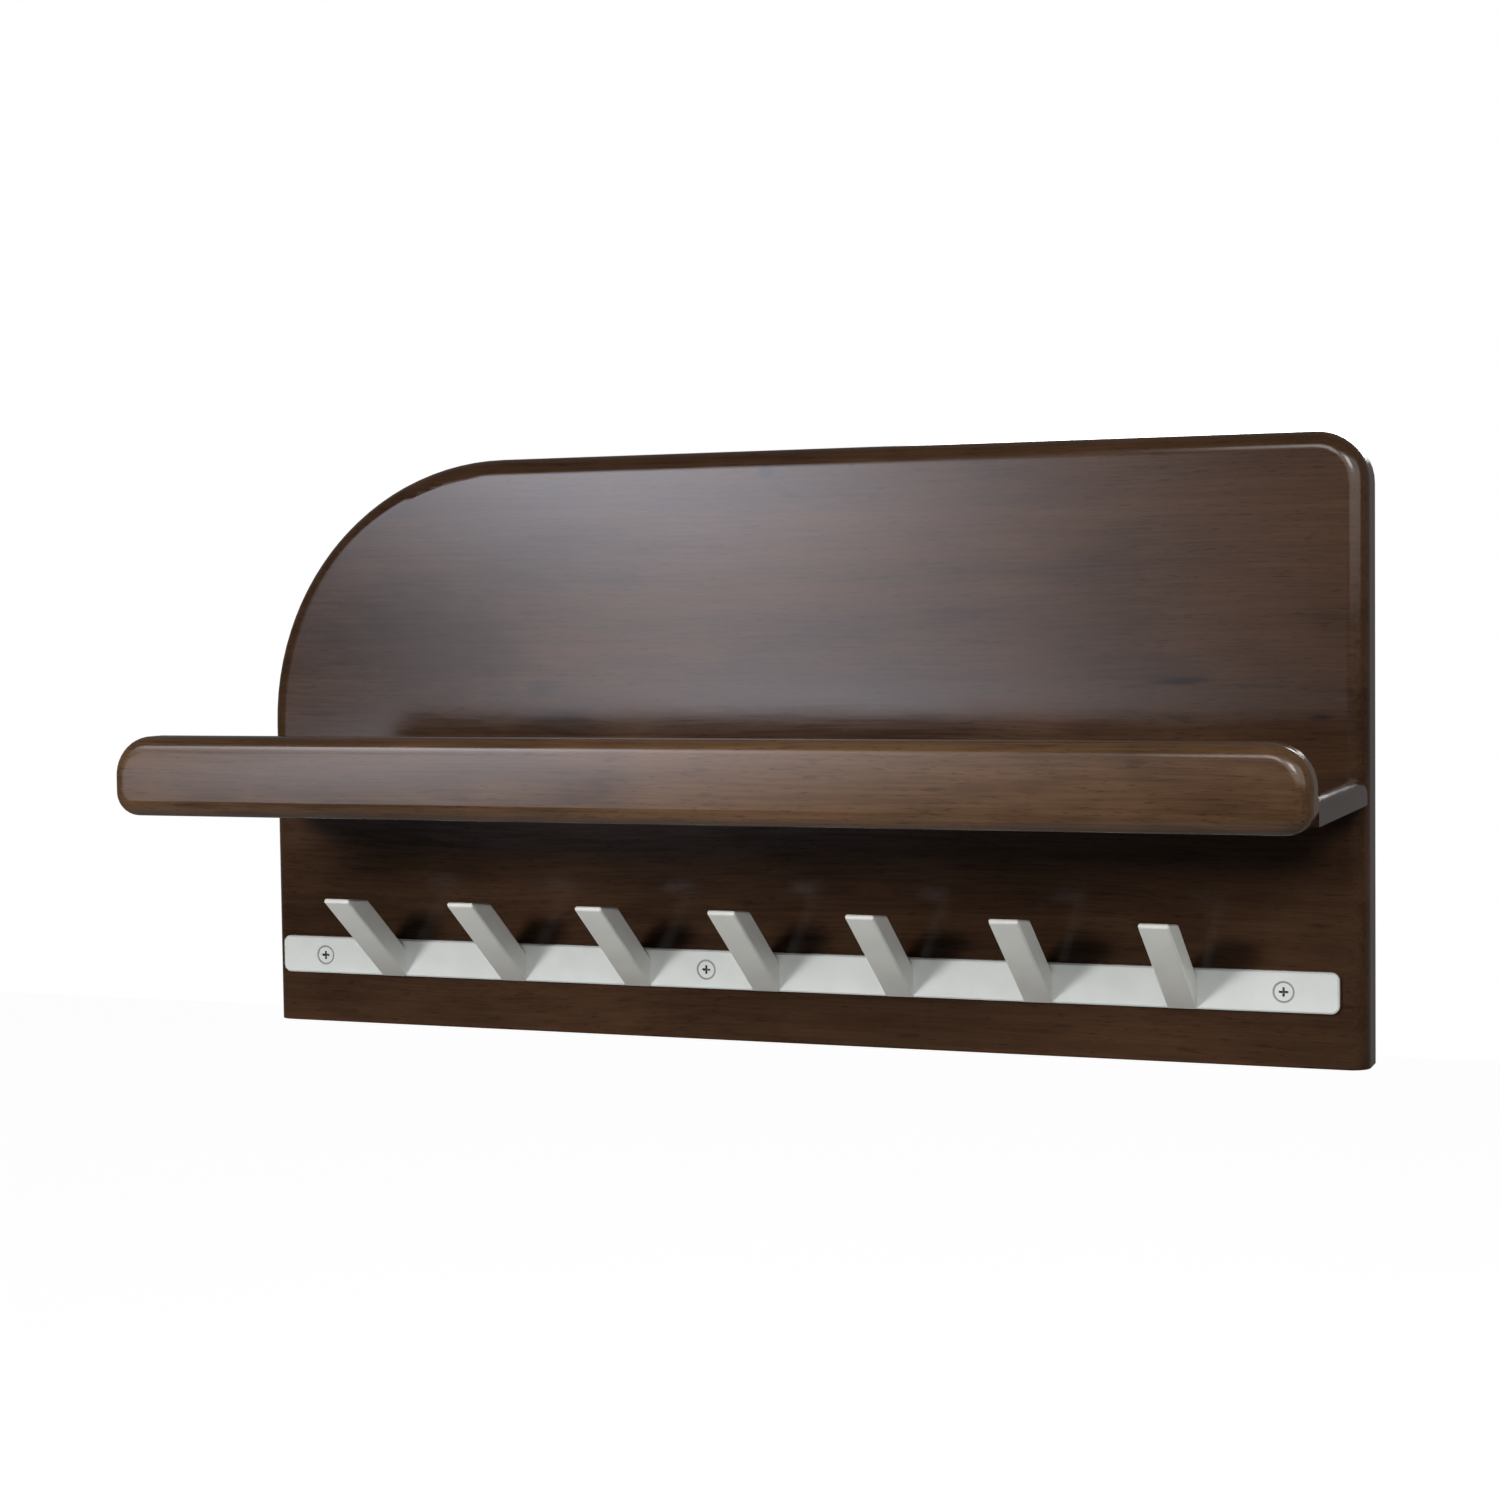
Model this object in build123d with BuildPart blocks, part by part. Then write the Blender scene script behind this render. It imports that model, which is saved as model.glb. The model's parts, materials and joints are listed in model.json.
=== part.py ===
from build123d import *
import math
import os

# A wall shelf with a coat rail: a solid-wood back board carries a shelf with an upstand along
# its front, and a flat steel rail with seven slanted bar hooks near its lower edge.
# Millimetres. +X runs to the right along the board, +Y into the wall, +Z up. The origin lies on
# the wall plane, midway between the two points where the keyholes hang on their wall screws.

# ---- Back board ----------------------------------------------------------------------------------
board_width = 600.0
board_height = 306.0
board_thickness = 25.0
board_left_radius = 142.0  # large sweep of the top left corner
board_right_radius = 25.0  # top right corner
board_edge_round = 9.5  # roundover of the left, top and right front edges

# ---- Shelf ---------------------------------------------------------------------------------------
shelf_underside = 127.5  # above the board's bottom edge
shelf_thickness = 12.5
shelf_depth = 134.0  # from the board's face to the upstand
shelf_edge_round = 7.5  # upper edges of both ends

# ---- Front lip, the upstand that keeps things on the shelf ---------------------------------------
lip_height = 40.0
lip_drop = 3.0  # below the shelf's underside
lip_thickness = 20.0
lip_top_radius = 20.0
lip_bottom_radius = 12.0
lip_edge_round = 8.0  # front edges
lip_back_round = 3.0  # back edges, above the shelf

# ---- Hook rail -----------------------------------------------------------------------------------
rail_height = 20.0
rail_thickness = 3.0
rail_underside = 27.0  # above the board's bottom edge
rail_left_inset = 7.0  # from the board's left end
rail_right_inset = 13.0  # from the board's right end
rail_corner_radius = 4.0
rail_edge_chamfer = 0.8  # front edges

# ---- Hooks: slanted bars, welded to the rail's face ----------------------------------------------
hook_count = 7
hook_width = 15.0
hook_thickness = 12.5  # square to its slanted front
hook_left_inset = 61.5  # from the rail's left end to the first hook
hook_right_inset = 68.5  # from the last hook to the rail's right end
hook_reach = 61.0  # from the rail's face to the blunt nose
hook_rise = 48.5  # from the rail's underside to the top of the nose
hook_nose = 2.2  # height of the blunt nose
hook_top_fall = 7.0  # degrees by which the top falls back from the nose
hook_edge_chamfer = 0.8

# ---- Rail screws: countersunk, cross recess ------------------------------------------------------
rail_screw_head = 8.8
rail_screw_shank = 4.5
rail_screw_length = 20.0
rail_screw_inset = 26.5  # from each end of the rail
rail_screw_sink = 0.15  # head below the rail's face
middle_screw_hook_count = 3  # hooks to the left of the middle screw
middle_screw_shift = 3.0  # to the right of the middle of that gap

# ---- Shelf screws: through the board from behind into the shelf's back edge ----------------------
shelf_screw_count = 3
shelf_screw_head = 8.0
shelf_screw_shank = 4.0
shelf_screw_grip = 27.0  # length held in the shelf
shelf_screw_inset = 60.0  # from the board's ends
shelf_screw_sink = 0.6  # head below the board's back

# ---- Biscuits glued into slots between shelf and lip ---------------------------------------------
biscuit_count = 3
biscuit_length = 56.0
biscuit_width = 23.0
biscuit_thickness = 4.0
biscuit_end = 5.0  # width of its blunt ends
biscuit_inset = 75.0  # from the board's ends to the middle of the outer biscuits

# ---- Keyholes, routed into the board's back to hang on two wall screws ---------------------------
hang_drop = 56.0  # hanging points below the board's top edge
hang_spacing = 400.0
keyhole_entry = 9.5  # diameter that takes the wall screw's head
keyhole_slot = 4.8  # width that takes its shank
keyhole_travel = 11.0  # from the entry's centre up to the hanging point
keyhole_lip = 4.0  # wood between the board's back and the undercut that takes the head
keyhole_depth = 10.0

# ---- Shared by all screws and holes --------------------------------------------------------------
screw_point = 3.0  # length of the tapered point
countersink_angle = 90.0
recess_span = 0.52  # cross recess, as a share of the head's diameter
recess_wing = 0.13  # wing width, same share
recess_depth = 0.22  # depth, same share
fit_clearance = 0.1  # between a screw or biscuit and its hole, on each side

# ---- Places that follow from the sizes -----------------------------------------------------------
board_top = hang_drop
board_bottom = hang_drop - board_height
board_left = -board_width / 2
board_right = board_width / 2
board_middle = (board_top + board_bottom) / 2

shelf_bottom = board_bottom + shelf_underside
shelf_middle = shelf_bottom + shelf_thickness / 2
lip_back = board_thickness + shelf_depth
lip_bottom = shelf_bottom - lip_drop
lip_middle = lip_bottom + lip_height / 2

rail_left = board_left + rail_left_inset
rail_right = board_right - rail_right_inset
rail_length = rail_right - rail_left
rail_bottom = board_bottom + rail_underside
rail_middle = rail_bottom + rail_height / 2
rail_face = board_thickness + rail_thickness

hook_pitch = (rail_length - hook_left_inset - hook_right_inset - hook_width) / (hook_count - 1)
hook_lefts = [rail_left + hook_left_inset + hook_pitch * i for i in range(hook_count)]
hook_slope = (hook_rise - hook_nose) / hook_reach
hook_root = hook_thickness * math.hypot(1, hook_slope)
hook_fall = math.tan(math.radians(hook_top_fall))
hook_heel = (hook_rise - hook_root - hook_fall * hook_reach) / (hook_slope - hook_fall)

middle_gap_left = hook_lefts[middle_screw_hook_count - 1] + hook_width
middle_gap_right = hook_lefts[middle_screw_hook_count]
rail_screw_places = {
    "left": rail_left + rail_screw_inset,
    "middle": (middle_gap_left + middle_gap_right) / 2 + middle_screw_shift,
    "right": rail_right - rail_screw_inset,
}

shelf_screw_pitch = (board_width - 2 * shelf_screw_inset) / (shelf_screw_count - 1)
shelf_screw_places = [
    board_left + shelf_screw_inset + shelf_screw_pitch * i for i in range(shelf_screw_count)
]
shelf_screw_length = board_thickness - shelf_screw_sink + shelf_screw_grip

biscuit_pitch = (board_width - 2 * biscuit_inset) / (biscuit_count - 1)
biscuit_places = [board_left + biscuit_inset + biscuit_pitch * i for i in range(biscuit_count)]

hang_places = [-hang_spacing / 2, hang_spacing / 2]

TOP = (Align.CENTER, Align.CENTER, Align.MAX)


def facing_front(depth):
    """The upright plane at a depth in front of the wall, seen from the front."""
    return Plane.XZ.offset(depth)


def facing_back(depth):
    """The same plane seen from behind, so that what is cut into it runs to the front."""
    return Plane(origin=(0, -depth, 0), x_dir=(-1, 0, 0), z_dir=(0, 1, 0))


def place(plane, x, z):
    """The plane moved so that its origin lies at x and z."""
    return Plane(origin=(x, plane.origin.Y, z), x_dir=plane.x_dir, z_dir=plane.z_dir)


def wood_screw(head_plane, head, shank, length):
    """A countersunk wood screw whose head lies on head_plane and whose shank runs below it."""
    cone = (head - shank) / 2
    with BuildPart(head_plane) as screw:
        Cone(shank / 2, head / 2, cone, align=TOP)
        with Locations((0, 0, -cone)):
            Cylinder(shank / 2, length - cone - screw_point, align=TOP)
        with Locations((0, 0, screw_point - length)):
            Cone(0, shank / 2, screw_point, align=TOP)
        with BuildSketch(head_plane):
            Rectangle(head * recess_span, head * recess_wing)
            Rectangle(head * recess_wing, head * recess_span)
        extrude(amount=-head * recess_depth, mode=Mode.SUBTRACT)
    return screw.part


def biscuit(x, room):
    """A biscuit across the joint of shelf and lip at x or, with some room, the slot it sits in."""
    half_length = biscuit_length / 2 + room
    half_end = biscuit_end / 2 + room
    bulge = biscuit_width / 2 + room
    underside = shelf_middle - biscuit_thickness / 2 - room
    with BuildPart() as wafer:
        with BuildSketch(Plane(origin=(x, -lip_back, underside))):
            with BuildLine():
                Line((-half_length, -half_end), (-half_length, half_end))
                ThreePointArc((-half_length, half_end), (0, bulge), (half_length, half_end))
                Line((half_length, half_end), (half_length, -half_end))
                ThreePointArc((half_length, -half_end), (0, -bulge), (-half_length, -half_end))
            make_face()
        extrude(amount=biscuit_thickness + 2 * room)
    return wafer.part


def countersink(head, sink):
    """The radius of a countersink at its mouth, for a head that lies sink below it."""
    return head / 2 + sink + fit_clearance


def save(part, name):
    part.label = name
    export_step(part, f"parts/{name}.step")


os.makedirs("parts", exist_ok=True)

# ---- Back board ----------------------------------------------------------------------------------
with BuildPart() as back_board:
    with BuildSketch(facing_front(0)):
        with Locations((0, board_middle)):
            Rectangle(board_width, board_height)
        fillet(vertices().group_by(Axis.Y)[-1].sort_by(Axis.X)[0], radius=board_left_radius)
        fillet(vertices().sort_by(Axis.X).group_by(Axis.X)[-1].sort_by(Axis.Y)[-1],
               radius=board_right_radius)
    extrude(amount=board_thickness)
    front_edges = faces().sort_by(Axis.Y)[0].edges().sort_by(Axis.Z)
    fillet(front_edges[1:], radius=board_edge_round)

    # Pilot holes for the rail screws.
    with BuildSketch(facing_front(board_thickness)):
        with Locations(*[(x, rail_middle) for x in rail_screw_places.values()]):
            Circle(rail_screw_shank / 2 + fit_clearance)
    extrude(amount=rail_thickness - rail_screw_sink - rail_screw_length, mode=Mode.SUBTRACT)

    # Countersunk holes for the shelf screws.
    shelf_screw_planes = [
        place(facing_back(shelf_screw_sink), x, shelf_middle) for x in shelf_screw_places
    ]
    with Locations(*[place(facing_back(0), x, shelf_middle) for x in shelf_screw_places]):
        CounterSinkHole(
            radius=shelf_screw_shank / 2 + fit_clearance,
            counter_sink_radius=countersink(shelf_screw_head, shelf_screw_sink),
            counter_sink_angle=countersink_angle,
        )

    # Keyholes: the entry for the wall screw's head, the slot up from it, and the undercut behind.
    for x in hang_places:
        with BuildSketch(place(facing_back(0), x, -keyhole_travel)):
            Circle(keyhole_entry / 2)
        extrude(amount=-keyhole_depth, mode=Mode.SUBTRACT)
        with BuildSketch(place(facing_back(0), x, -keyhole_travel / 2)):
            SlotCenterToCenter(keyhole_travel, keyhole_slot, rotation=90)
        extrude(amount=-keyhole_lip, mode=Mode.SUBTRACT)
        with BuildSketch(place(facing_back(keyhole_lip), x, -keyhole_travel / 2)):
            SlotCenterToCenter(keyhole_travel, keyhole_entry, rotation=90)
        extrude(amount=keyhole_lip - keyhole_depth, mode=Mode.SUBTRACT)
save(back_board.part, "back_board")

# ---- Shelf ---------------------------------------------------------------------------------------
biscuit_slots = [biscuit(x, fit_clearance) for x in biscuit_places]

with BuildPart() as shelf_board:
    with BuildSketch(Plane.XY.offset(shelf_bottom)):
        with Locations((0, -board_thickness - shelf_depth / 2)):
            Rectangle(board_width, shelf_depth)
    extrude(amount=shelf_thickness)
    upper_edges = edges().filter_by(Axis.Y).group_by(Axis.Z)[-1]
    fillet(upper_edges, radius=min(shelf_edge_round, 0.7 * shelf_thickness))
    with BuildSketch(facing_front(board_thickness)):
        with Locations(*[(x, shelf_middle) for x in shelf_screw_places]):
            Circle(shelf_screw_shank / 2 + fit_clearance)
    extrude(amount=shelf_screw_grip, mode=Mode.SUBTRACT)
    add(biscuit_slots, mode=Mode.SUBTRACT)
save(shelf_board.part, "shelf_board")

# ---- Front lip -----------------------------------------------------------------------------------
with BuildPart() as front_lip:
    with BuildSketch(facing_front(lip_back)) as lip_outline:
        with Locations((0, lip_middle)):
            Rectangle(board_width, lip_height)
        fillet(vertices().group_by(Axis.Y)[-1], radius=min(lip_top_radius, 0.55 * lip_height))
        fillet(vertices().group_by(Axis.Y)[0], radius=min(lip_bottom_radius, 0.35 * lip_height))
    extrude(amount=lip_thickness)
    lip_front = faces().sort_by(Axis.Y)[0]
    lip_rear = faces().sort_by(Axis.Y)[-1]
    rear_top = lip_rear.edges().filter_by(Axis.X).sort_by(Axis.Z)[-1]
    fillet(lip_front.edges(), radius=min(lip_edge_round, 0.45 * lip_thickness))
    fillet(rear_top, radius=lip_back_round)
    # The back stays square up to the shelf's top.
    with BuildSketch(facing_front(lip_back)):
        add(lip_outline.sketch_local)
        with Locations((0, lip_bottom)):
            Rectangle(board_width, 2 * (lip_drop + shelf_thickness), mode=Mode.INTERSECT)
    extrude(amount=lip_back_round)
    add(biscuit_slots, mode=Mode.SUBTRACT)
save(front_lip.part, "front_lip")

# ---- Biscuits ------------------------------------------------------------------------------------
for number, x in enumerate(biscuit_places, start=1):
    save(biscuit(x, 0), f"lip_biscuit_{number}")

# ---- Shelf screws --------------------------------------------------------------------------------
for number, head_plane in enumerate(shelf_screw_planes, start=1):
    shelf_screw = wood_screw(head_plane, shelf_screw_head, shelf_screw_shank, shelf_screw_length)
    save(shelf_screw, f"shelf_screw_{number}")

# ---- Hook rail -----------------------------------------------------------------------------------
with BuildPart() as hook_rail:
    rail_centre = (rail_left + rail_right) / 2
    with BuildSketch(place(facing_front(board_thickness), rail_centre, rail_middle)):
        RectangleRounded(rail_length, rail_height, rail_corner_radius)
    extrude(amount=rail_thickness)
    chamfer(faces().sort_by(Axis.Y)[0].edges(), length=rail_edge_chamfer)
    with Locations(*[place(facing_front(rail_face), x, rail_middle)
                     for x in rail_screw_places.values()]):
        CounterSinkHole(
            radius=rail_screw_shank / 2 + fit_clearance,
            counter_sink_radius=countersink(rail_screw_head, rail_screw_sink),
            counter_sink_angle=countersink_angle,
        )
save(hook_rail.part, "hook_rail")

# ---- Hooks ---------------------------------------------------------------------------------------
hook_profile = [  # how far out from the rail's face, how high above the rail's underside
    (0, 0),
    (hook_reach, hook_rise - hook_nose),
    (hook_reach, hook_rise),
    (hook_heel, hook_root + hook_slope * hook_heel),
    (0, hook_root),
]
for number, left in enumerate(hook_lefts, start=1):
    with BuildPart() as hook:
        with BuildSketch(Plane.YZ.offset(left)):
            with BuildLine():
                Polyline(*[(-rail_face - out, rail_bottom + up) for out, up in hook_profile],
                         close=True)
            make_face()
        extrude(amount=hook_width)
        root = faces().sort_by(Axis.Y)[-1]
        free_edges = [edge for edge in edges() if edge.center().Y < root.center().Y - fit_clearance]
        chamfer(free_edges, length=hook_edge_chamfer)
    save(hook.part, f"hook_{number}")

# ---- Rail screws ---------------------------------------------------------------------------------
for side, x in rail_screw_places.items():
    head_plane = place(facing_front(rail_face - rail_screw_sink), x, rail_middle)
    rail_screw = wood_screw(head_plane, rail_screw_head, rail_screw_shank, rail_screw_length)
    save(rail_screw, f"rail_screw_{side}")
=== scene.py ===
import json
import math

import bmesh
import bpy
from mathutils import Matrix, Vector

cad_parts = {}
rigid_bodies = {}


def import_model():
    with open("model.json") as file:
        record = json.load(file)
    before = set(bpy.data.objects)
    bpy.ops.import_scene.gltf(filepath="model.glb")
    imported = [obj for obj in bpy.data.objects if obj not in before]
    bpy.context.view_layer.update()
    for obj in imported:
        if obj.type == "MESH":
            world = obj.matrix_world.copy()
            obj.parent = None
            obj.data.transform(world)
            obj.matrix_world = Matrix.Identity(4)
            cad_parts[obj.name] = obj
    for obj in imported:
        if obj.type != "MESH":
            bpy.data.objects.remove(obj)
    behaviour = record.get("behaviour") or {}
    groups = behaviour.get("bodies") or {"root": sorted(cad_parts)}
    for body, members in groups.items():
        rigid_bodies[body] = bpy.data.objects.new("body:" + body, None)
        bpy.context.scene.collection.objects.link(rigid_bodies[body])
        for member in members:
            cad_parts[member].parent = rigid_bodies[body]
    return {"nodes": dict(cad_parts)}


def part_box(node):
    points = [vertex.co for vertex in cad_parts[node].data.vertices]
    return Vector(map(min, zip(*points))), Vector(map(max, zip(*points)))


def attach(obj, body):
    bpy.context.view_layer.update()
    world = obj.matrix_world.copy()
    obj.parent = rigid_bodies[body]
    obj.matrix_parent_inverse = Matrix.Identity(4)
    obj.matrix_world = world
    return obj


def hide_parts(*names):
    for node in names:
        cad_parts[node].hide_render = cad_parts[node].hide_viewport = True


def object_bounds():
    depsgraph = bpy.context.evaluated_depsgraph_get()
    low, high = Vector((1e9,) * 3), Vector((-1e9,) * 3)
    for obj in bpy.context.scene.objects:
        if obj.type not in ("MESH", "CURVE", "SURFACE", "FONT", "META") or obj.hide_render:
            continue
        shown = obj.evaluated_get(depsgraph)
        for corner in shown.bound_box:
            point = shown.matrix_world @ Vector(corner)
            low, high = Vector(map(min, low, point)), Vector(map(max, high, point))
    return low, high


# The looks of a dark-stained wall shelf with a painted hook rail. Metres, in the frame's axes:
# +X right along the board, +Y into the wall, +Z up, origin on the wall plane.

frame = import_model()
cad_low, cad_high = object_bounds()

BODY = "root"
MIDDLE = (cad_low + cad_high) / 2
RAIL_SCREWS = sorted(name for name in frame["nodes"] if name.startswith("rail_screw"))
HOOKS = sorted(name for name in frame["nodes"] if name.startswith("hook_") and name != "hook_rail")


# ---- Camera --------------------------------------------------------------------------------------
# Fitted to the photograph, in which the object is seen from the right, a little above its middle.
CAMERA_PLACE = Vector((0.50011, -1.33790, -0.0260))
CAMERA_YAW = math.radians(21.415)  # turned from +Y towards -X
CAMERA_PITCH = math.radians(2.937)  # below the horizon
CAMERA_ROLL = math.radians(-0.742)
PHOTO_PIXELS = 1500
PHOTO_FOCUS = 2732.42  # focal length in the photograph's pixels
SENSOR = 36.0  # millimetres


def make_camera():
    data = bpy.data.cameras.new("camera")
    data.sensor_width = SENSOR
    data.lens = PHOTO_FOCUS / PHOTO_PIXELS * SENSOR
    forward = Vector((
        -math.sin(CAMERA_YAW) * math.cos(CAMERA_PITCH),
        math.cos(CAMERA_YAW) * math.cos(CAMERA_PITCH),
        -math.sin(CAMERA_PITCH),
    ))
    level_right = Vector((math.cos(CAMERA_YAW), math.sin(CAMERA_YAW), 0.0))
    level_up = level_right.cross(forward)
    right = level_right * math.cos(CAMERA_ROLL) + level_up * math.sin(CAMERA_ROLL)
    up = level_up * math.cos(CAMERA_ROLL) - level_right * math.sin(CAMERA_ROLL)
    camera = bpy.data.objects.new("camera", data)
    turn = Matrix((right, up, -forward)).transposed()
    camera.matrix_world = Matrix.LocRotScale(CAMERA_PLACE, turn, None)
    bpy.context.scene.collection.objects.link(camera)
    bpy.context.scene.camera = camera


# ---- Node graphs ---------------------------------------------------------------------------------
# Places of the Mix node's sockets for colours, which share their names with its other sockets.
MIX_FACTOR = 0
MIX_FIRST = 6
MIX_SECOND = 7
MIX_COLOUR = 2

NOISE_SPREAD = (0.3, 0.7)  # levels between which most of a noise lies


class Graph:
    """A node tree with short calls for the nodes that the finishes share.

    A value given for a socket is a plain value, or another node's output to link to it.
    """

    def __init__(self, tree):
        self.tree = tree
        self.nodes = tree.nodes

    def put(self, socket, value):
        if isinstance(value, bpy.types.NodeSocket):
            self.tree.links.new(value, socket)
        else:
            socket.default_value = value

    def add(self, kind, sockets=None, **settings):
        node = self.nodes.new(kind)
        for name, value in settings.items():
            setattr(node, name, value)
        for name, value in (sockets or {}).items():
            self.put(node.inputs[name], value)
        return node

    def math(self, operation, first, second=0.0, third=0.0):
        node = self.add("ShaderNodeMath", {0: first, 1: second, 2: third}, operation=operation)
        return node.outputs[0]

    def ramp(self, value, low, high, low_out=0.0, high_out=1.0):
        """A smooth step of value from low to high."""
        sockets = {"Value": value, "From Min": low, "From Max": high,
                   "To Min": low_out, "To Max": high_out}
        node = self.add("ShaderNodeMapRange", sockets, interpolation_type="SMOOTHSTEP")
        return node.outputs[0]

    def mix(self, factor, first, second, blend="MIX"):
        node = self.add("ShaderNodeMix", data_type="RGBA", blend_type=blend)
        self.put(node.inputs[MIX_FACTOR], factor)
        self.put(node.inputs[MIX_FIRST], first)
        self.put(node.inputs[MIX_SECOND], second)
        return node.outputs[MIX_COLOUR]

    def vector(self, operation, first, second=(0.0, 0.0, 0.0)):
        node = self.add("ShaderNodeVectorMath", {0: first, 1: second}, operation=operation)
        return node.outputs["Value" if operation == "LENGTH" else "Vector"]

    def stretch(self, vector, scale, shift=(0.0, 0.0, 0.0)):
        sockets = {"Vector": vector, "Location": shift, "Scale": scale}
        return self.add("ShaderNodeMapping", sockets).outputs[0]

    def noise(self, vector, detail=2.0, roughness=0.5):
        sockets = {"Vector": vector, "Scale": 1.0, "Detail": detail, "Roughness": roughness}
        return self.add("ShaderNodeTexNoise", sockets).outputs["Fac"]

    def bump(self, height, strength, distance):
        sockets = {"Height": height, "Strength": strength, "Distance": distance}
        return self.add("ShaderNodeBump", sockets).outputs[0]


def material(name, **sockets):
    """A new material, its graph and its Principled BSDF, whose given sockets hold plain values."""
    made = bpy.data.materials.new(name)
    made.use_nodes = True
    graph = Graph(made.node_tree)
    bsdf = graph.nodes["Principled BSDF"]
    for socket, value in sockets.items():
        bsdf.inputs[socket].default_value = value
    return made, graph, bsdf


def grey(value):
    return (value, value, value, 1.0)


def colour(tone, share=1.0):
    """A tone, or a darker share of it, as a colour socket takes it."""
    return (*[part * share for part in tone], 1.0)


# ---- Stained wood --------------------------------------------------------------------------------
WOOD_IOR = 1.38
WOOD_DRIFT = (2.0, 5.0, 5.0)  # slow turns of the grain in a metre, along X, Y and Z
WOOD_WANDER = 0.030  # how far apart they take it sideways
WOOD_LAYERS = {  # features in a metre along X, Y and Z, and the noise's detail and roughness
    "clouds": ((5.0, 11.0, 11.0), 5.0, 0.6),
    "bands": ((2.2, 75.0, 75.0), 5.0, 0.6),
    "fibres": ((22.0, 750.0, 750.0), 3.0, 0.5),
    "pores": ((130.0, 1500.0, 1500.0), 1.0, 0.5),
    "flecks": ((45.0, 330.0, 330.0), 2.0, 0.5),
    "waves": ((12.0, 34.0, 34.0), 3.0, 0.5),
}
WOOD_FIGURE = {  # the levels between which a layer turns from dark to light, and its share
    "bands": (0.30, 0.70, 0.28),
    "clouds": (0.36, 0.64, 0.50),
    "fibres": (0.35, 0.65, 0.22),
}
WOOD_MARKS = {  # the levels between which a mark comes up, its cover, its share of the dark tone
    "flecks": (0.64, 0.74, 0.35, 0.4),
    "pores": (0.60, 0.72, 0.40, 0.3),
}
KNOT_FRAY = 0.8  # how far the flecks fray a knot's rim, as a share of its half size
KNOT_CORE = 0.2  # how far out a knot keeps its full depth, as the same share
WOOD_DULLED = {"fibres": 0.04, "clouds": 0.04}  # what a layer adds to the roughness
WOOD_RELIEF = {"fibres": 0.03, "bands": 0.05}  # height of a layer beside waves of 1
WOOD_BUMP = 0.00014  # height of the waves


def wood_layers(graph, shift):
    """The place along the drifting grain, and the value of each layer there.

    The clouds alone don't drift with the grain.
    """
    place = graph.add("ShaderNodeTexCoord").outputs["Object"]
    drift = graph.noise(graph.stretch(place, WOOD_DRIFT, shift))
    sideways = graph.math("MULTIPLY_ADD", drift, WOOD_WANDER, -WOOD_WANDER / 2)
    wander = graph.add("ShaderNodeCombineXYZ", {"X": 0.0, "Y": sideways, "Z": sideways})
    bent = graph.vector("ADD", place, wander.outputs[0])
    layers = {}
    for name, (scale, detail, roughness) in WOOD_LAYERS.items():
        start = place if name == "clouds" else bent
        layers[name] = graph.noise(graph.stretch(start, scale, shift), detail, roughness)
    return bent, layers


def darken_knots(graph, shade, bent, flecks, knots):
    """Darkens the shade in each knot or streak, whose rim the flecks fray."""
    clear = 1.0
    for across, up, half_width, half_height, depth in knots:
        spot = graph.stretch(bent, (1.0 / half_width, 0.0, 1.0 / half_height),
                             (-across / half_width, 0.0, -up / half_height))
        reach = graph.math("ADD", graph.vector("LENGTH", spot), -KNOT_FRAY / 2)
        frayed = graph.math("MULTIPLY_ADD", flecks, KNOT_FRAY, reach)
        spared = graph.ramp(frayed, KNOT_CORE, 1.0, 1.0 - depth, 1.0)
        clear = graph.math("MULTIPLY", clear, spared)
    cleared = graph.add("ShaderNodeCombineColor", {0: clear, 1: clear, 2: clear}).outputs[0]
    return graph.mix(1.0, shade, cleared, blend="MULTIPLY")


def make_wood(name, shift, dark, light, haze, knots=()):
    """Dark-stained wood with its grain along X.

    shift moves the figure from piece to piece, and haze is the least roughness. Each knot or
    streak is its middle's X and Z, its half width and half height, and its depth.
    """
    made, graph, bsdf = material(name, IOR=WOOD_IOR)
    bent, layers = wood_layers(graph, shift)

    figure = 0.0
    for layer, (low, high, share) in WOOD_FIGURE.items():
        figure = graph.math("MULTIPLY_ADD", graph.ramp(layers[layer], low, high), share, figure)
    shade = graph.mix(figure, colour(dark), colour(light))
    for layer, (low, high, cover, share) in WOOD_MARKS.items():
        mark = graph.math("MULTIPLY", graph.ramp(layers[layer], low, high), cover)
        shade = graph.mix(mark, shade, colour(dark, share))
    if knots:
        shade = darken_knots(graph, shade, bent, layers["flecks"], knots)
    graph.put(bsdf.inputs["Base Color"], shade)

    rough = haze
    for layer, share in WOOD_DULLED.items():
        rough = graph.math("MULTIPLY_ADD", graph.ramp(layers[layer], *NOISE_SPREAD), share, rough)
    graph.put(bsdf.inputs["Roughness"], rough)

    height = layers["waves"]
    for layer, share in WOOD_RELIEF.items():
        height = graph.math("MULTIPLY_ADD", layers[layer], share, height)
    graph.put(bsdf.inputs["Normal"], graph.bump(height, 1.0, WOOD_BUMP))
    return made


# ---- Paint, zinc and beech -----------------------------------------------------------------------
PAINT_IOR = 1.5
PAINT_DUST = (60.0, 60.0, 60.0)  # features in a metre
PAINT_PEEL = (1100.0, 1100.0, 1100.0)
PEEL_STRENGTH = 0.12
PEEL_HEIGHT = 0.0002
PAINT_DUSTED = 0.94  # share of the tone where dust dulls it
PAINT_HOLLOW_SHADE = 0.15  # share of the tone in the painted shade of gaps and recesses
PAINT_ROUGHNESS = (0.34, 0.10)  # at least, and what dust adds
SCREW_GAP = (-0.0001, 0.0007)  # where the painted shadow in the gap starts and ends, out from the head's rim
SCREW_GAP_BLUR = 0.0005
SCREW_GAP_COVER = 0.7
RECESS_DEPTHS = (0.0003, 0.0009)  # below the rail's face, between which the painted shade of the recess comes in


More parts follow.
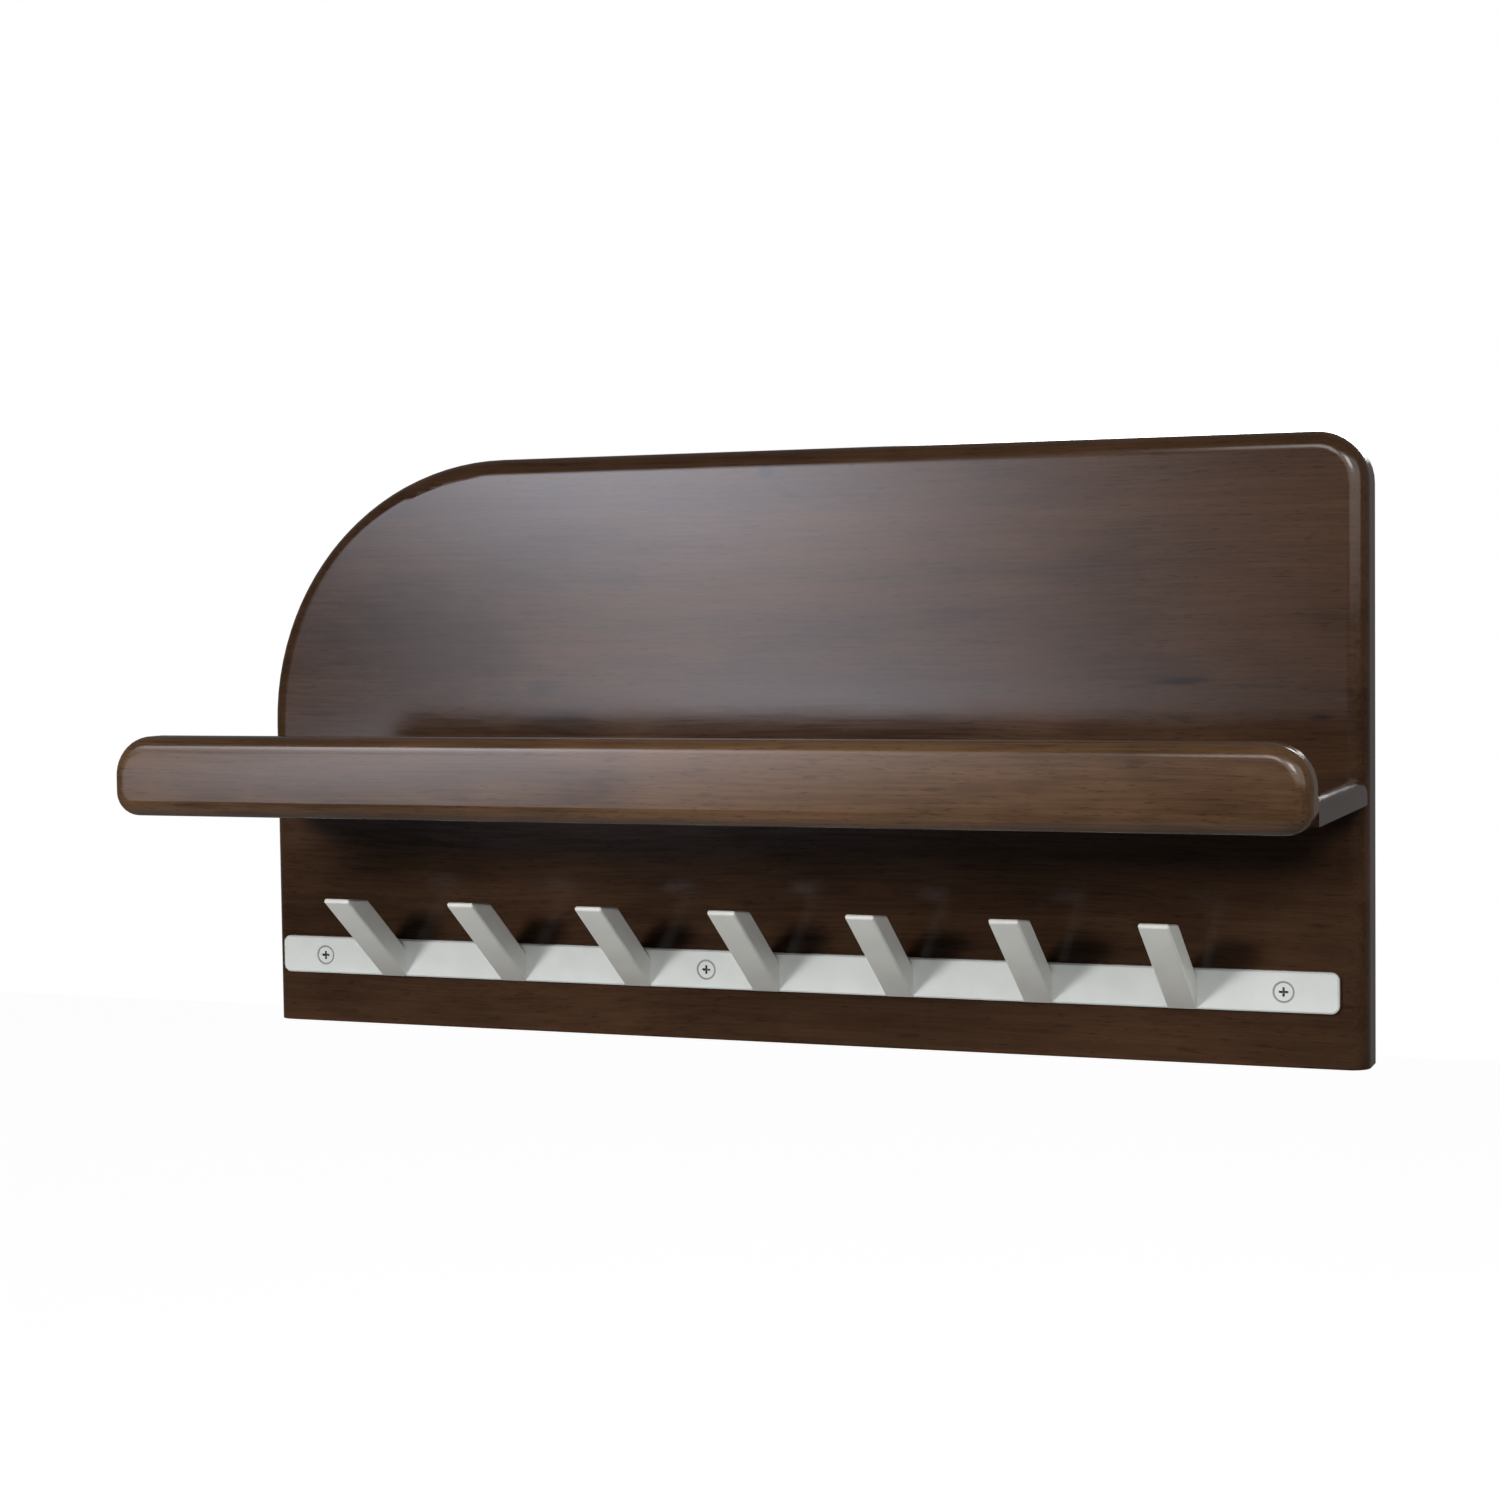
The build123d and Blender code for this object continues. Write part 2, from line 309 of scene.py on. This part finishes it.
def paint_gap_shadow(graph, shade, dark, place, screw):
    """Paints a shadow into the gap between a rail screw's head and its countersink."""
    low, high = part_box(screw)
    rim = (high.x - low.x) / 2
    away = graph.vector("SUBTRACT", place, (low + high) / 2)
    reach = graph.vector("LENGTH", graph.vector("MULTIPLY", away, (1.0, 0.0, 1.0)))
    start, end = [rim + out for out in SCREW_GAP]
    inside = graph.ramp(reach, start - SCREW_GAP_BLUR, start)
    outside = graph.ramp(reach, end, end + SCREW_GAP_BLUR, 1.0, 0.0)
    cover = graph.math("MULTIPLY", graph.math("MULTIPLY", inside, outside), SCREW_GAP_COVER)
    return graph.mix(cover, shade, dark)


def paint_recess_shade(graph, shade, dark, place):
    """Paints shade over what lies deep in a screw head's cross recess."""
    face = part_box("hook_rail")[0].y
    start, end = [face + depth for depth in RECESS_DEPTHS]
    inward = graph.add("ShaderNodeSeparateXYZ", {0: place}).outputs["Y"]
    return graph.mix(graph.ramp(inward, start, end), shade, dark)


def make_paint(name, tone, gaps=(), recess=False):
    """Satin powder coat with its fine orange peel.

    gaps names the screws round whose heads the gap gets a painted shadow, and recess paints shade
    deep in their recesses.
    """
    made, graph, bsdf = material(name, IOR=PAINT_IOR)
    place = graph.add("ShaderNodeTexCoord").outputs["Object"]
    dust = graph.noise(graph.stretch(place, PAINT_DUST), detail=4.0)
    peel = graph.noise(graph.stretch(place, PAINT_PEEL))
    dusted = graph.ramp(dust, *NOISE_SPREAD)
    shade = graph.mix(dusted, colour(tone, PAINT_DUSTED), colour(tone))
    dark = colour(tone, PAINT_HOLLOW_SHADE)
    for screw in gaps:
        shade = paint_gap_shadow(graph, shade, dark, place, screw)
    if recess:
        shade = paint_recess_shade(graph, shade, dark, place)
    graph.put(bsdf.inputs["Base Color"], shade)
    least, added = PAINT_ROUGHNESS
    graph.put(bsdf.inputs["Roughness"], graph.math("MULTIPLY_ADD", dust, added, least))
    graph.put(bsdf.inputs["Normal"], graph.bump(peel, PEEL_STRENGTH, PEEL_HEIGHT))
    return made


ZINC_PATCHES = (400.0, 400.0, 400.0)  # features in a metre
ZINC_TONES = ((0.50, 0.44, 0.28), (0.68, 0.63, 0.46))
ZINC_ROUGHNESS = (0.25, 0.20)  # at least, and what the patches add
BEECH_RAYS = (150.0, 600.0, 600.0)  # features in a metre
BEECH_TONES = ((0.50, 0.34, 0.20), (0.66, 0.48, 0.30))
BEECH_ROUGHNESS = (0.6, 0.1)


def make_mottled(name, scale, tones, roughness, **sockets):
    """A finish whose patches vary between two tones and in roughness."""
    made, graph, bsdf = material(name, **sockets)
    place = graph.add("ShaderNodeTexCoord").outputs["Object"]
    patches = graph.noise(graph.stretch(place, scale), detail=3.0)
    first, second = tones
    graph.put(bsdf.inputs["Base Color"], graph.mix(patches, colour(first), colour(second)))
    least, added = roughness
    graph.put(bsdf.inputs["Roughness"], graph.math("MULTIPLY_ADD", patches, added, least))
    return made


def make_zinc(name):
    """Yellow zinc plating, a little uneven."""
    return make_mottled(name, ZINC_PATCHES, ZINC_TONES, ZINC_ROUGHNESS, Metallic=1.0)


def make_beech(name):
    """Pressed beech of the hidden biscuits, with its rays along X."""
    return make_mottled(name, BEECH_RAYS, BEECH_TONES, BEECH_ROUGHNESS)


def finish_node(name, finish):
    """Gives a carried-over CAD node its finish."""
    materials = frame["nodes"][name].data.materials
    if not materials:
        materials.append(finish)
    for index in range(len(materials)):
        materials[index] = finish


# ---- Hooks ---------------------------------------------------------------------------------------
HOOK_THICKNESS = 0.0125  # square to the slanted front
HOOK_NOSE = 0.0022  # height of the blunt nose
HOOK_FALL = math.tan(math.radians(7.0))  # by which the top falls back from the nose
HOOK_EDGE = 0.0013  # rounding of every free edge
HOOK_FINEST = 0.00005  # rounding that stays in the outline of a bar's side faces
EDGE_STEPS = 6  # steps of every rounding


def rounded(before, corner, after, radius):
    """Points of the arc that rounds a corner between two straight runs."""
    towards_before = (before - corner).normalized()
    towards_after = (after - corner).normalized()
    half = towards_before.angle(towards_after) / 2
    middle = (towards_before + towards_after).normalized()
    centre = corner + middle * radius / math.sin(half)
    start = corner + towards_before * radius / math.tan(half) - centre
    end = corner + towards_after * radius / math.tan(half) - centre
    return [centre + radius * start.slerp(end, step / EDGE_STEPS)
            for step in range(EDGE_STEPS + 1)]


def hook_outline(reach, rise, inset):
    """The bar's side view, out from the rail and up from its underside, drawn in by inset."""
    slope = (rise - HOOK_NOSE) / reach
    lean = math.hypot(1, slope)
    top = rise - HOOK_FALL * reach - inset * math.hypot(1, HOOK_FALL)
    rear = (HOOK_THICKNESS - inset) * lean
    nose = reach - inset
    heel = (top - rear) / (slope - HOOK_FALL)
    corners = [Vector(point) for point in (
        (0, inset * lean),
        (nose, slope * nose + inset * lean),
        (nose, top + HOOK_FALL * nose),
        (heel, rear + slope * heel),
        (0, rear),
    )]
    radius = max(HOOK_EDGE - inset, HOOK_FINEST)
    outline = [corners[0]]
    for index in range(1, len(corners) - 1):
        outline += rounded(corners[index - 1], corners[index], corners[index + 1], radius)
    return outline + [corners[-1]]


def make_hook(name, finish):
    """The bar of a hook with its edges rounded, in place of the plainer CAD bar."""
    low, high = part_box(name)
    mesh = bmesh.new()

    def ring(x, inset):
        outline = hook_outline(high.y - low.y, high.z - low.z, inset)
        return [mesh.verts.new((x, high.y - out, low.z + up)) for out, up in outline]

    turns = [math.pi / 2 * step / EDGE_STEPS for step in range(EDGE_STEPS + 1)]
    shrinks = [(HOOK_EDGE * (1 - math.sin(turn)), HOOK_EDGE * (1 - math.cos(turn)))
               for turn in turns]
    rings = [ring(low.x + side, inset) for side, inset in reversed(shrinks)]
    rings += [ring(high.x - side, inset) for side, inset in shrinks]
    mesh.faces.new(rings[0])
    mesh.faces.new(rings[-1])
    for here, there in zip(rings, rings[1:]):
        for index in range(len(here)):
            after = (index + 1) % len(here)
            mesh.faces.new((here[index], here[after], there[after], there[index]))
    bmesh.ops.recalc_face_normals(mesh, faces=mesh.faces)
    data = bpy.data.meshes.new(name + "_bar")
    mesh.to_mesh(data)
    mesh.free()
    for polygon in data.polygons:
        polygon.use_smooth = True
    data.materials.append(finish)
    bar = bpy.data.objects.new(name + "_bar", data)
    bpy.context.scene.collection.objects.link(bar)
    bar.modifiers.new("flat faces", "WEIGHTED_NORMAL").weight = 100
    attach(bar, BODY)
    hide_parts(name)


# ---- Studio --------------------------------------------------------------------------------------
def aim(thing, place, target):
    thing.location = place
    thing.rotation_mode = "QUATERNION"
    thing.rotation_quaternion = (Vector(target) - Vector(place)).to_track_quat("-Z", "Y")


def make_softbox(name, place, target, width, height, power):
    lamp = bpy.data.lights.new(name, "AREA")
    lamp.shape = "RECTANGLE"
    lamp.size = width
    lamp.size_y = height
    lamp.energy = power
    softbox = bpy.data.objects.new(name, lamp)
    bpy.context.scene.collection.objects.link(softbox)
    aim(softbox, place, target)
    return softbox


def around(azimuth, elevation, distance):
    """A place round the object's middle. The azimuth turns from straight in front to the right."""
    turn = math.radians(azimuth)
    lift = math.radians(elevation)
    return MIDDLE + distance * Vector((
        math.sin(turn) * math.cos(lift), -math.cos(turn) * math.cos(lift), math.sin(lift)))


STUDIO_LIFT = (0.03, 0.06)  # strength of the dim studio, from below and from above
STUDIO_HEIGHTS = (-0.5, 0.9)  # Z of the world's directions between which it changes
GLOSS_WHITE = 0.10  # strength in gloss of the white behind the object
GLOSS_BEHIND = (0.0, 0.35)  # Y of the directions where that white begins, and where it is full


def make_world():
    """A dim studio that the camera sees white. Gloss sees a dimmed white, behind the object alone."""
    world = bpy.data.worlds.new("studio")
    bpy.context.scene.world = world
    world.use_nodes = True
    graph = Graph(world.node_tree)
    output = graph.nodes["World Output"]
    path = graph.add("ShaderNodeLightPath").outputs
    way = graph.add("ShaderNodeTexCoord").outputs["Generated"]
    parts = graph.add("ShaderNodeSeparateXYZ", {0: way}).outputs
    behind = graph.ramp(parts["Y"], *GLOSS_BEHIND)
    mirrored = graph.math("MAXIMUM", path["Is Glossy Ray"], path["Is Transmission Ray"])
    lift = graph.ramp(parts["Z"], *STUDIO_HEIGHTS, *STUDIO_LIFT)
    light = graph.math("MULTIPLY_ADD", graph.math("MULTIPLY", mirrored, behind), GLOSS_WHITE, lift)
    background = graph.nodes["Background"]
    background.inputs["Color"].default_value = grey(1.0)
    graph.put(background.inputs["Strength"], graph.math("MAXIMUM", path["Is Camera Ray"], light))
    graph.put(output.inputs["Surface"], background.outputs[0])


FLOOR_DROP = 1.40  # the floor below the origin, with the shelf hung at coat height
FLOOR_SPAN = 14.0
FLOOR_SPECKLE = (3.0, 3.0, 3.0)  # features in a metre
FLOOR_GREYS = (0.52, 0.56)
FLOOR_SEEN = 0.94  # strength of its own light to the camera
FLOOR_MIRRORED = 0.08  # and in gloss


def make_floor():
    made, graph, bsdf = material("floor", Roughness=0.9)
    path = graph.add("ShaderNodeLightPath").outputs
    place = graph.add("ShaderNodeTexCoord").outputs["Object"]
    speckle = graph.noise(graph.stretch(place, FLOOR_SPECKLE), detail=3.0)
    darker, lighter = FLOOR_GREYS
    graph.put(bsdf.inputs["Base Color"], graph.mix(speckle, grey(darker), grey(lighter)))
    mirrored = graph.math("MAXIMUM", path["Is Glossy Ray"], path["Is Transmission Ray"])
    seen = graph.math("MULTIPLY", path["Is Camera Ray"], FLOOR_SEEN)
    glow = graph.math("MULTIPLY_ADD", mirrored, FLOOR_MIRRORED, seen)
    bsdf.inputs["Emission Color"].default_value = grey(1.0)
    graph.put(bsdf.inputs["Emission Strength"], glow)
    half = FLOOR_SPAN / 2
    corners = [(-half, -half), (half, -half), (half, half), (-half, half)]
    data = bpy.data.meshes.new("floor")
    data.from_pydata([(x, y, -FLOOR_DROP) for x, y in corners], [], [(0, 1, 2, 3)])
    data.materials.append(made)
    floor = bpy.data.objects.new("floor", data)
    bpy.context.scene.collection.objects.link(floor)


SHEEN_LOW = Vector((-0.66, -0.40, -0.20))  # corners of the sheen's softbox
SHEEN_HIGH = Vector((0.34, -0.40, 0.20))
SHEEN_POWER = 6.6
SHEEN_TINT = (0.92, 0.96, 1.09)
SHEEN_MIDDLE = -0.215  # X of its brightest place at Z of 0
SHEEN_SPREAD = 0.180  # how far it fades to either side
SHEEN_SLANT = 0.6  # how far that place moves left for each metre up
SHEEN_LIP = (-0.125, -0.098)  # heights between which it moves over, for what the lip mirrors
SHEEN_LIP_SHIFT = 0.16  # how much further left it lies below them
SHEEN_RISE = (-0.165, -0.096)  # heights between which it comes up
SHEEN_LOW_BAND = (-0.095, -0.075)  # heights between which its bright lower band fades
SHEEN_LOW_GAIN = 0.4
SHEEN_TOP = (-0.04, 0.10)  # heights between which it brightens further
SHEEN_TOP_GAIN = 1.1
SHEEN_FALL = (0.12, 0.20)  # heights between which it ends


def make_sheen():
    """A close softbox that fades towards its edges and shows in gloss alone."""
    middle = (SHEEN_LOW + SHEEN_HIGH) / 2
    size = SHEEN_HIGH - SHEEN_LOW
    softbox = make_softbox("sheen", middle, middle + Vector((0, 1, 0)), size.x, size.z, SHEEN_POWER)
    softbox.visible_camera = False
    softbox.visible_diffuse = False
    lamp = softbox.data
    lamp.use_nodes = True
    graph = Graph(lamp.node_tree)
    place = graph.add("ShaderNodeNewGeometry").outputs["Position"]
    parts = graph.add("ShaderNodeSeparateXYZ", {0: place}).outputs
    across = graph.math("MULTIPLY_ADD", parts["Z"], SHEEN_SLANT, parts["X"])
    across = graph.math("ADD", across, graph.ramp(parts["Z"], *SHEEN_LIP, SHEEN_LIP_SHIFT, 0.0))
    off = graph.math("MULTIPLY_ADD", across, 1.0 / SHEEN_SPREAD, -SHEEN_MIDDLE / SHEEN_SPREAD)
    bell = graph.math("EXPONENT", graph.math("MULTIPLY", graph.math("MULTIPLY", off, off), -0.5))
    rise = graph.ramp(parts["Z"], *SHEEN_RISE)
    top = graph.ramp(parts["Z"], *SHEEN_TOP, 1.0, 1.0 + SHEEN_TOP_GAIN)
    fall = graph.ramp(parts["Z"], *SHEEN_FALL, 1.0, 0.0)
    band = graph.ramp(parts["Z"], *SHEEN_LOW_BAND, 1.0 + SHEEN_LOW_GAIN, 1.0)
    glow = bell
    for step in (rise, band, top, fall):
        glow = graph.math("MULTIPLY", glow, step)
    emission = graph.nodes["Emission"]
    emission.inputs["Color"].default_value = colour(SHEEN_TINT)
    graph.put(emission.inputs["Strength"], glow)


def light_alone(softbox, beginnings=""):
    """Keeps a softbox off the floor, and off each piece whose name doesn't begin as given."""
    pieces = bpy.data.collections.new(softbox.name + "_lights")
    for thing in bpy.context.scene.objects:
        if thing.type == "MESH" and thing.name.startswith(beginnings):
            pieces.objects.link(thing)
    softbox.light_linking.receiver_collection = pieces


# Azimuth and elevation in degrees, distance from the object's middle, width, height and watts.
SOFTBOXES = {
    "key": (-25, 12.5, 2.2, 0.36, 0.36, 35),
    "fill": (6, 32, 2.2, 0.8, 0.6, 12),
    "side": (38, 26, 2.2, 0.5, 0.5, 13),
    "edge": (47, 20, 1.4, 1.6, 0.8, 10),
    "right": (99, 8, 2.0, 0.7, 0.8, 10),
    "rear": (180, 22, 2.2, 1.2, 0.7, 22),
    "left": (-100, 15, 2.2, 0.7, 0.8, 10),
    "low": (25, -25, 1.8, 0.9, 0.5, 9),
}
OUT_OF_GLOSS = ("key", "right", "left")
GLOSS_ALONE = ("edge",)
OFF_FLOOR = ("right", "rear", "left")
PAINTED = ("hook_", "rail_screw")  # how the names of the pieces begin that the low softbox lights


def make_lights():
    """The softboxes. The floor isn't there yet, so light_alone leaves it out."""
    softboxes = {}
    for name, (azimuth, elevation, distance, width, height, power) in SOFTBOXES.items():
        place = around(azimuth, elevation, distance)
        softboxes[name] = make_softbox(name, place, MIDDLE, width, height, power)
        softboxes[name].visible_glossy = name not in OUT_OF_GLOSS
        softboxes[name].visible_diffuse = name not in GLOSS_ALONE
    light_alone(softboxes["low"], PAINTED)
    for name in OFF_FLOOR:
        light_alone(softboxes[name])
    make_sheen()


# ---- Build ---------------------------------------------------------------------------------------
BOARD_TONES = ((0.024, 0.0116, 0.0059), (0.066, 0.0325, 0.0165))  # of the dark and light grain
LIP_TONES = ((0.035, 0.0172, 0.0080), (0.122, 0.0650, 0.0320))
# The rail and hooks share one powder coat. The hooks' lighter tone is painted light, making up for
# the light their down-facing fronts miss.
RAIL_TONE = (0.55, 0.57, 0.55)
HOOK_LIT_TONE = (0.65, 0.65, 0.61)

# Each as make_wood takes it. The first is the large dark patch, the others small knots and streaks.
BOARD_KNOTS = (
    (-0.205, -0.040, 0.095, 0.040, 0.45),
    (-0.004, 0.0434, 0.006, 0.005, 0.55),
    (-0.134, -0.062, 0.014, 0.006, 0.45),
    (-0.123, -0.080, 0.030, 0.010, 0.35),
    (0.210, -0.062, 0.020, 0.0028, 0.65),
    (0.278, -0.080, 0.009, 0.0025, 0.55),
)

BOARD_SHIFT = (0.0, 0.0, 0.0)
SHELF_SHIFT = (3.1, 7.7, 1.9)
LIP_SHIFT = (8.3, 2.2, 5.4)
BOARD_HAZE = 0.12
SHELF_HAZE = 0.13

finishes = {  # by how the nodes' names begin
    "back_board": make_wood("board_wood", BOARD_SHIFT, *BOARD_TONES, BOARD_HAZE, BOARD_KNOTS),
    "shelf_board": make_wood("shelf_wood", SHELF_SHIFT, *BOARD_TONES, SHELF_HAZE),
    "front_lip": make_wood("lip_wood", LIP_SHIFT, *LIP_TONES, SHELF_HAZE),
    # The rail's paint carries a painted shadow in the gap round each screw head.
    "hook_rail": make_paint("rail_paint", RAIL_TONE, gaps=RAIL_SCREWS),
    # The screws' paint carries painted shade deep in their cross recesses.
    "rail_screw": make_paint("screw_paint", RAIL_TONE, recess=True),
    "shelf_screw": make_zinc("screw_steel"),
    "lip_biscuit": make_beech("biscuit_wood"),
}
for beginning, finish in finishes.items():
    for node in frame["nodes"]:
        if node.startswith(beginning):
            finish_node(node, finish)

hook_finish = make_paint("hook_paint", HOOK_LIT_TONE)
for node in HOOKS:
    make_hook(node, hook_finish)

make_world()
make_lights()
make_floor()
make_camera()
bpy.context.scene.view_settings.view_transform = "Standard"
